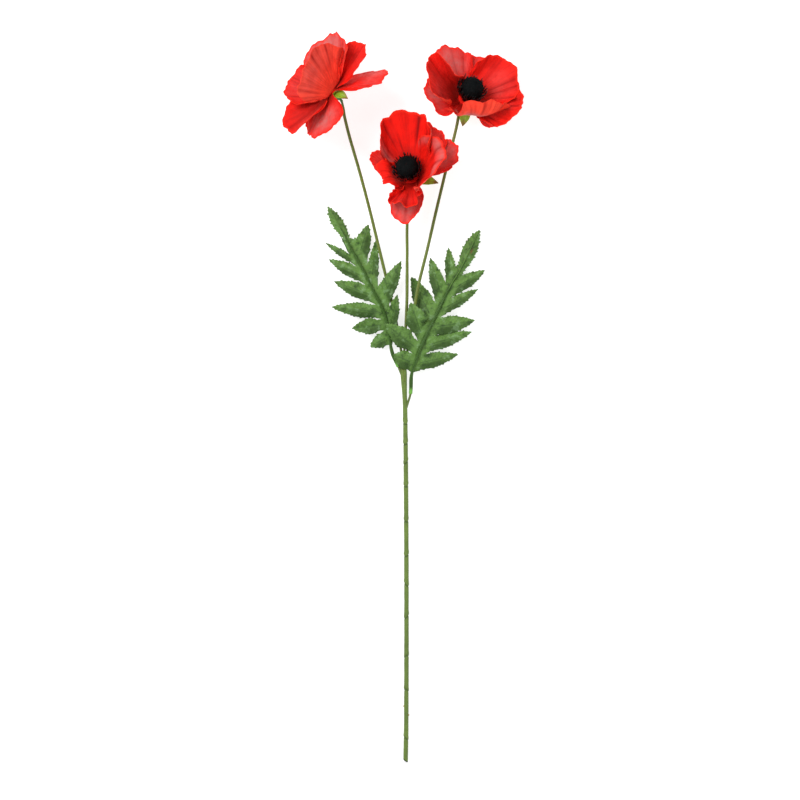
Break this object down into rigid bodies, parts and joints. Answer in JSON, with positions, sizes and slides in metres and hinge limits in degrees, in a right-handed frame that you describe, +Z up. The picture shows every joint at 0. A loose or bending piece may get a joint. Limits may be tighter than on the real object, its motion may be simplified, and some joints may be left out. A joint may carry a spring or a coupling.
{
  "type": "artificial poppy spray",
  "caption": "Artificial poppy spray lying on a surface: red fabric blooms with black centres on thin stalks, cut-edged fabric leaves and one tape-bound stem.",
  "frame": {"origin": "on the resting surface, at the middle of the outline seen from above", "axes": "+Y from the cut end of the stem to the blooms, +Z up from the surface the spray lies on, +X to the right when the blooms point away"},
  "size_m": [0.2174, 0.6542, 0.0853],
  "materials": {
    "petal_cloth": "red printed fabric, matt, lightly pleated",
    "seed_flock": "black flock over a round core",
    "stamen_plastic": "black, matt",
    "calyx_plastic": "lime green, matt, brown tips",
    "stalk_plastic": "olive green, half matt",
    "stem_tape": "green tape wound round a bundle, half matt",
    "leaf_cloth": "green printed fabric, matt, pressed veins",
    "rib_plastic": "dark green, half matt",
    "wire_steel": "drawn wire"
  },
  "bodies": {
    "root": {"calyx_left": "calyx_plastic", "calyx_middle": "calyx_plastic", "calyx_right": "calyx_plastic", "leaf_blade_left": "leaf_cloth", "leaf_blade_right": "leaf_cloth", "leaf_rib_left": "rib_plastic", "leaf_rib_right": "rib_plastic", "petals_inner_left": "petal_cloth", "petals_inner_middle": "petal_cloth", "petals_inner_right": "petal_cloth", "petals_outer_left": "petal_cloth", "petals_outer_middle": "petal_cloth", "petals_outer_right": "petal_cloth", "seed_head_left": "seed_flock", "seed_head_middle": "seed_flock", "seed_head_right": "seed_flock", "stalk_left": "stalk_plastic", "stalk_middle": "stalk_plastic", "stalk_right": "stalk_plastic", "stamens_left": "stamen_plastic", "stamens_middle": "stamen_plastic", "stamens_right": "stamen_plastic", "stem": "stem_tape", "wire_left": "wire_steel", "wire_middle": "wire_steel", "wire_right": "wire_steel"}
  },
  "joints": []
}
